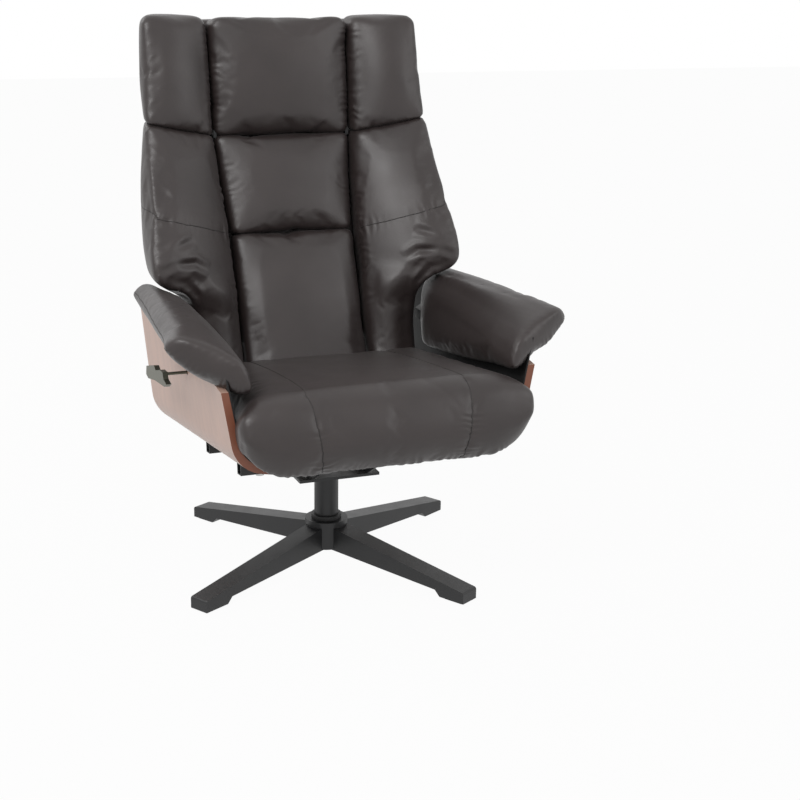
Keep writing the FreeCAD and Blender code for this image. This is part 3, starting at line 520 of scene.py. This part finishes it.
def wing_parts():
    """Each side of the back: the head wing, and the long wing that narrows behind the arm pad."""
    parts = {
        "head_side": ([
            vectors((0.152, 0.264, 0.849), (0.311, 0.222, 0.884), (0.286, 0.326, 0.884), (0.152, 0.335, 0.849)),
            vectors((0.154, 0.283, 0.97), (0.308, 0.244, 0.985), (0.282, 0.340, 0.985), (0.154, 0.350, 0.97)),
            vectors((0.154, 0.303, 1.090), (0.303, 0.268, 1.094), (0.278, 0.354, 1.094), (0.154, 0.370, 1.090)),
        ], (0.006, 0.022)),
        "long_side": ([
            vectors((0.139, 0.070, 0.372), (0.243, 0.066, 0.372), (0.240, 0.130, 0.360), (0.139, 0.130, 0.360)),
            vectors((0.139, 0.100, 0.410), (0.246, 0.094, 0.410), (0.240, 0.180, 0.405), (0.139, 0.180, 0.405)),
            vectors((0.137, 0.137, 0.500), (0.250, 0.100, 0.500), (0.245, 0.215, 0.500), (0.137, 0.215, 0.500)),
            vectors((0.136, 0.160, 0.556), (0.262, 0.080, 0.552), (0.256, 0.225, 0.552), (0.136, 0.225, 0.556)),
            vectors((0.136, 0.175, 0.590), (0.326, 0.066, 0.586), (0.300, 0.235, 0.588), (0.136, 0.235, 0.590)),
            vectors((0.136, 0.190, 0.626), (0.338, 0.070, 0.626), (0.308, 0.245, 0.630), (0.136, 0.245, 0.626)),
            vectors((0.137, 0.214, 0.690), (0.326, 0.115, 0.722), (0.306, 0.275, 0.722), (0.137, 0.275, 0.690)),
            vectors((0.144, 0.240, 0.765), (0.321, 0.166, 0.800), (0.294, 0.302, 0.800), (0.146, 0.310, 0.765)),
            vectors((0.152, 0.264, 0.851), (0.311, 0.222, 0.886), (0.287, 0.326, 0.886), (0.152, 0.335, 0.851)),
        ], (0.016, 0.006)),
    }
    result = {}
    for name, (stations, end_rounds) in parts.items():
        tracks = [list(track) for track in zip(*stations)]
        places = [station[0].z for station in stations]
        for side, end in ((1, "right"), (-1, "left")):
            points = tracks if side > 0 else [mirrored(track) for track in tracks]
            piece = soft_loft(f"{name}_{end}", places, points, [0.024, 0.036, 0.018, 0.010],
                              [0.013, 0.004, 0, 0], end_rounds, rings=70, per_side=20)
            result[piece.name] = soft(piece)
    return result


def seat_part():
    """The seat: one cover that runs over the crest, down the front and under."""
    def profile(x, rear, drop=0.0, lift=0.0, shrink=0.0):
        under = FRONT + 0.05
        return vectors(
            (x, rear, 0.409 - drop), (x, FRONT + 0.018, CREST + 0.010 - drop),
            (x, FRONT - 0.010 + shrink, CREST - 0.060), (x, FRONT - 0.005 + shrink, 0.350 + lift),
            (x, FRONT + 0.018 + shrink, 0.314 + lift), (x, under, 0.320 + lift),
            (x, under + 0.004, 0.340 + lift), (x, rear - 0.054, 0.302 + lift),
            (x, rear - 0.054, 0.370 - drop))
    half = [profile(0.0, 0.106), profile(0.080, 0.106), profile(0.150, 0.106),
            profile(0.205, 0.106, 0.001, 0.004), profile(0.244, 0.100, 0.006, 0.016, 0.003),
            profile(0.268, -0.20, 0.010, 0.032, 0.006), profile(0.290, -0.31, 0.020, 0.056, 0.014)]
    places = [0.0, 0.080, 0.150, 0.205, 0.244, 0.268, 0.290]
    stations = [mirrored(profile_points) for profile_points in reversed(half[1:])] + half
    places = [-place for place in reversed(places[1:])] + places
    tracks = [list(track) for track in zip(*stations)]
    radii = [0.02, 0.055, 0.05, 0.03, 0.014, 0.008, 0.008, 0.01, 0.01]
    return soft(soft_loft("seat_leather", places, tracks, radii, [0.006, 0, 0.004, 0, 0, 0, 0, 0, 0],
                          (0.030, 0.030), rings=110))


def arm_pads():
    """The angled pads: outer edge high, inner side reaching down to the seat, front cut back."""
    stations = [
        vectors((0.402, -0.280, 0.545), (0.380, -0.294, 0.576), (0.262, -0.340, 0.530), (0.248, -0.344, 0.476),
                (0.268, -0.330, 0.468), (0.352, -0.302, 0.502)),
        vectors((0.389, -0.190, 0.548), (0.362, -0.190, 0.584), (0.257, -0.210, 0.534), (0.252, -0.210, 0.448),
                (0.268, -0.210, 0.446), (0.335, -0.190, 0.504)),
        vectors((0.374, -0.040, 0.548), (0.342, -0.040, 0.586), (0.258, -0.050, 0.538), (0.252, -0.050, 0.424),
                (0.267, -0.050, 0.422), (0.325, -0.040, 0.506)),
        vectors((0.361, 0.100, 0.548), (0.326, 0.100, 0.582), (0.262, 0.080, 0.536), (0.254, 0.080, 0.412),
                (0.268, 0.080, 0.410), (0.318, 0.100, 0.508)),
        vectors((0.353, 0.208, 0.548), (0.322, 0.202, 0.576), (0.272, 0.160, 0.530), (0.262, 0.120, 0.414),
                (0.272, 0.130, 0.414), (0.314, 0.200, 0.510)),
    ]
    tracks = [list(track) for track in zip(*stations)]
    places = [-0.280, -0.190, -0.040, 0.100, 0.208]
    result = {}
    for side, end in ((1, "right"), (-1, "left")):
        points = tracks if side > 0 else [mirrored(track) for track in tracks]
        piece = soft_loft(f"arm_cushion_{end}", places, points, [0.006, 0.034, 0.030, 0.008, 0.006, 0.02],
                          [0.004, 0.008, 0.005, 0, 0, 0], (0.014, 0.016), rings=80)
        result[piece.name] = soft(piece, 0.005)
    return result


def rear_covers():
    """The upholstered shell behind the back, in a lower part and a head part."""
    lower = [
        (0.225, 0.190, 0.222, 0.425), (0.232, 0.235, 0.280, 0.53), (0.255, 0.255, 0.318, 0.615),
        (0.278, 0.268, 0.338, 0.66), (0.276, 0.300, 0.358, 0.75), (0.268, 0.320, 0.374, 0.851),
    ]
    upper = [(0.268, 0.320, 0.374, 0.849), (0.266, 0.334, 0.382, 0.97), (0.262, 0.348, 0.390, TOP - 0.002)]
    result = {}
    for name, stations, end_rounds in (("rear_shell", lower, (0.010, 0.004)),
                                       ("head_shell", upper, (0.004, 0.014))):
        tracks = [
            [Vector((-half, front, z)) for half, front, rear, z in stations],
            [Vector((half, front, z)) for half, front, rear, z in stations],
            [Vector((half - 0.016, rear, z)) for half, front, rear, z in stations],
            [Vector((0.016 - half, rear, z)) for half, front, rear, z in stations],
        ]
        piece = soft_loft(name, [station[3] for station in stations], tracks, [0.008, 0.008, 0.024, 0.024],
                          [0, 0, 0.006, 0], end_rounds, per_side=30)
        result[name] = soft(piece)
    return result


# ---------------------------------------------------------------- stuffing, creases and gathers

SWELL_LIMIT = 0.007
SWELL_SHARE = 0.5
SWELL_STEPS = 20


def swell():
    """Blows the covers up a little as cloth, so that they crease and crown as stuffed leather does."""
    before = {}
    for piece in SOFT:
        before[piece] = [vertex.co.copy() for vertex in piece.data.vertices]
        cloth = piece.modifiers.new("cloth", "CLOTH")
        settings = cloth.settings
        settings.use_pressure = True
        settings.uniform_pressure_force = 4
        settings.effector_weights.gravity = 0
        settings.tension_stiffness = 18
        settings.compression_stiffness = 18
        settings.bending_stiffness = 0.6
        settings.quality = 5
        cloth.collision_settings.use_collision = False
        cloth.point_cache.frame_end = SWELL_STEPS
    for step in range(1, SWELL_STEPS + 1):
        scene.frame_set(step)
    for piece, places in before.items():
        bake_modifiers(piece)
        for vertex, place in zip(piece.data.vertices, places):
            move = (vertex.co - place) * SWELL_SHARE
            if move.length > SWELL_LIMIT:
                move = move.normalized() * SWELL_LIMIT
            vertex.co = place + move
    scene.frame_set(1)


def along_normals(piece, shapes):
    """Moves each vertex along its normal by the sum of the shapes, in metres."""
    mesh = piece.data
    count = len(mesh.vertices)
    places = numpy.empty(count * 3)
    normals = numpy.empty(count * 3)
    mesh.vertices.foreach_get("co", places)
    mesh.vertex_normals.foreach_get("vector", normals)
    places = places.reshape(count, 3)
    normals = normals.reshape(count, 3)
    total = sum(shape(places, normals) for shape in shapes)
    mesh.vertices.foreach_set("co", (places + normals * total[:, None]).ravel())
    mesh.update()


def run_and_distance(places, points):
    """How far along a broken line each place lies, and how far away from it."""
    best = numpy.full(len(places), 1e9)
    run = numpy.zeros(len(places))
    done = 0.0
    for first, last in zip(points, points[1:]):
        first, last = numpy.array(first), numpy.array(last)
        line = last - first
        length = numpy.linalg.norm(line)
        line = line / length
        share = numpy.clip((places - first) @ line, 0, length)
        away = numpy.linalg.norm(places - first - share[:, None] * line, axis=1)
        nearer = away < best
        best[nearer] = away[nearer]
        run[nearer] = done + share[nearer]
        done += length
    return run, best, done


def noise_at(places, scale, seed):
    shift = Vector((seed, seed * 2.0, seed * 3.0))
    return numpy.array([noise.noise(Vector(place) * scale + shift) for place in places])


def groove(points, depth, width):
    """A seam pulled into the padding."""
    def shape(places, normals):
        run, away, length = run_and_distance(places, points)
        return -depth * (0.6 * numpy.exp(-(away / width) ** 2) + 0.4 * numpy.exp(-(away / (3 * width)) ** 2))
    return shape


def gathers(points, pitch, depth, reach, seed):
    """Small tucks in the leather across a seam, strong in some stretches and gone in others."""
    def shape(places, normals):
        run, away, length = run_and_distance(places, points)
        near = away < reach * 2.5
        result = numpy.zeros(len(places))
        chosen = run[near]
        wobble = noise_at(numpy.column_stack((chosen * 30, away[near] * 25, chosen * 0)), 1, seed)
        strength = noise_at(numpy.column_stack((chosen * 14, chosen * 0, chosen * 0)), 1, seed + 9)
        wave = numpy.sin(2 * math.pi * (chosen / pitch + wobble * 1.1))
        ends = numpy.minimum(1, numpy.minimum(chosen, length - chosen) / 0.01 + 0.15)
        fade = numpy.exp(-(away[near] / reach) ** 2)
        result[near] = depth * wave * fade * ends * numpy.clip(0.55 + 1.3 * strength, 0, 1.3)
        return result
    return shape


def wrinkle(points, width, depth):
    """One long crease: a shallow valley with a raised lip beside it."""
    def shape(places, normals):
        run, away, length = run_and_distance(places, points)
        ends = numpy.sin(math.pi * numpy.clip(run / length, 0, 1)) ** 0.7
        valley = -numpy.exp(-(away / width) ** 2)
        lip = 0.6 * numpy.exp(-((away - width * 2.0) / width) ** 2)
        return depth * ends * (valley + lip)
    return shape


def unevenness(scale, depth, seed):
    def shape(places, normals):
        return depth * noise_at(places, scale, seed)
    return shape


def smooth_once(piece):
    modifier = piece.modifiers.new("detail", "SUBSURF")
    modifier.levels = 1
    modifier.render_levels = 1
    bake_modifiers(piece)


# ---------------------------------------------------------------- seams


def seam_curve(name, piece, points, body, radius=0.0011):
    """A stitched seam: a thin rolled edge that follows the leather."""
    steps = 14
    spots = []
    for first, last in zip(points, points[1:]):
        spots += [first.lerp(last, step / steps) for step in range(steps)]
    spots.append(points[-1])
    data = bpy.data.curves.new(name, "CURVE")
    data.dimensions = "3D"
    data.bevel_depth = radius
    data.bevel_resolution = 2
    spline = data.splines.new("POLY")
    spline.points.add(len(spots) - 1)
    for slot, spot in zip(spline.points, spots):
        found, place, normal, face = piece.closest_point_on_mesh(spot)
        slot.co = (*(place - normal * radius * 0.3), 1)
    seam = bpy.data.objects.new(name, data)
    COLLECTION.objects.link(seam)
    data.materials.append(THREAD)
    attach(seam, body)
    return seam


# ---------------------------------------------------------------- the object


def side_points(side, points):
    return [Vector((side * x, y, z)) for x, y, z in points]


def build():
    dress_nodes()
    middle = middle_panels()
    wings = wing_parts()
    seat = seat_part()
    pads = arm_pads()
    covers = rear_covers()
    swell()
    shapes = {piece: [unevenness(14, 0.0011, index * 3.7), unevenness(5, 0.0014, index * 1.3)]
              for index, piece in enumerate(SOFT)}
    seams = []

    # the seams between the panels
    upper_seam = [(0.136, 0.207, 0.654), (0.20, 0.175, 0.668), (0.26, 0.140, 0.690), (0.312, 0.118, 0.716),
                  (0.316, 0.200, 0.722), (0.306, 0.275, 0.722)]
    seat_seam = [(0.148, 0.08, 0.416), (0.149, -0.10, 0.434), (0.152, -0.26, 0.455), (0.156, -0.345, 0.462),
                 (0.150, -0.392, 0.420), (0.143, -0.400, 0.370), (0.138, -0.394, 0.328), (0.136, -0.372, 0.314)]
    pad_front = [(0.396, -0.280, 0.545), (0.345, -0.302, 0.506), (0.272, -0.330, 0.474)]
    pad_outer = [(0.398, -0.280, 0.545), (0.389, -0.190, 0.548), (0.374, -0.040, 0.552), (0.363, 0.100, 0.555),
                 (0.355, 0.208, 0.557)]
    for side, end in ((1, "right"), (-1, "left")):
        wing = wings[f"long_side_{end}"]
        line = side_points(side, upper_seam)
        shapes[wing] += [groove(line, 0.0035, 0.005), gathers(line, 0.017, 0.0012, 0.016, 3 + side)]
        seams.append((f"wing_seam_{end}", wing, line, "backrest"))
        line = side_points(side, seat_seam)
        shapes[seat] += [groove(line, 0.0042, 0.006), gathers(line[4:], 0.014, 0.0017, 0.018, 6 + side)]
        seams.append((f"seat_seam_{end}", seat, line, "seat"))
        pad = pads[f"arm_cushion_{end}"]
        line = side_points(side, pad_outer)
        shapes[pad] += [groove(line, 0.002, 0.004)]
        seams.append((f"arm_seam_{end}", pad, line, "carrier"))
        line = side_points(side, pad_front)
        shapes[pad] += [gathers(line, 0.013, 0.0014, 0.014, 11 + side)]
        channel = side_points(side, [(0.137, 0.137, 0.50), (0.136, 0.207, 0.655), (0.152, 0.272, 0.85)])
        shapes[wing] += [gathers(channel, 0.022, 0.0012, 0.020, 15 + side)]
        head_channel = side_points(side, [(0.153, 0.280, 0.86), (0.153, 0.290, 0.97), (0.153, 0.300, 1.08)])
        shapes[wings[f"head_side_{end}"]] += [gathers(head_channel, 0.020, 0.0012, 0.018, 21 + side)]
        shapes[middle["head_panel"]] += [gathers(head_channel, 0.014, 0.0016, 0.018, 25 + side)]
        shapes[middle["upper_panel"]] += [gathers(channel[1:], 0.019, 0.0012, 0.018, 31 + side)]
        shapes[middle["lumbar_panel"]] += [gathers(channel[:2], 0.022, 0.0010, 0.016, 35 + side)]
        # folds where the wing bends in behind the arm pad
        for fold in ([(0.320, 0.075, 0.630), (0.285, 0.085, 0.655), (0.235, 0.120, 0.665)],
                     [(0.318, 0.075, 0.612), (0.280, 0.080, 0.625), (0.240, 0.105, 0.620), (0.215, 0.120, 0.600)],
                     [(0.290, 0.078, 0.590), (0.262, 0.085, 0.585), (0.240, 0.095, 0.555), (0.232, 0.095, 0.520)]):
            shapes[wing] += [wrinkle(side_points(side, fold), 0.007, 0.0045)]
    bottom = [Vector((x, -0.376, 0.318)) for x in (-0.27, -0.14, 0.0, 0.14, 0.27)]
    shapes[seat] += [gathers(bottom, 0.017, 0.0014, 0.020, 41)]
    for piece in SOFT:
        smooth_once(piece)
        along_normals(piece, shapes[piece])

    for piece, body, nodes in (
        (middle["lumbar_panel"], "backrest", ["lumbar_cushion"]),
        (middle["upper_panel"], "backrest", ["upper_back_cushion"]),
        (middle["head_panel"], "headrest", ["head_cushion"]),
        (wings["long_side_left"], "backrest", ["back_wing_left", "back_side_left"]),
        (wings["long_side_right"], "backrest", ["back_wing_right", "back_side_right"]),
        (wings["head_side_left"], "headrest", ["head_wing_left"]),
        (wings["head_side_right"], "headrest", ["head_wing_right"]),
        (seat, "seat", ["seat_cushion"]),
        (pads["arm_cushion_left"], "carrier", ["arm_pad_left"]),
        (pads["arm_cushion_right"], "carrier", ["arm_pad_right"]),
        (covers["rear_shell"], "backrest", ["back_cover"]),
        (covers["head_shell"], "headrest", ["head_cover"]),
    ):
        finish_soft(piece, nodes)
        if body == "headrest":
            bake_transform(piece)
        else:
            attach(piece, body)
    for name, piece, line, body in seams:
        seam_curve(name, piece, line, body)


build()
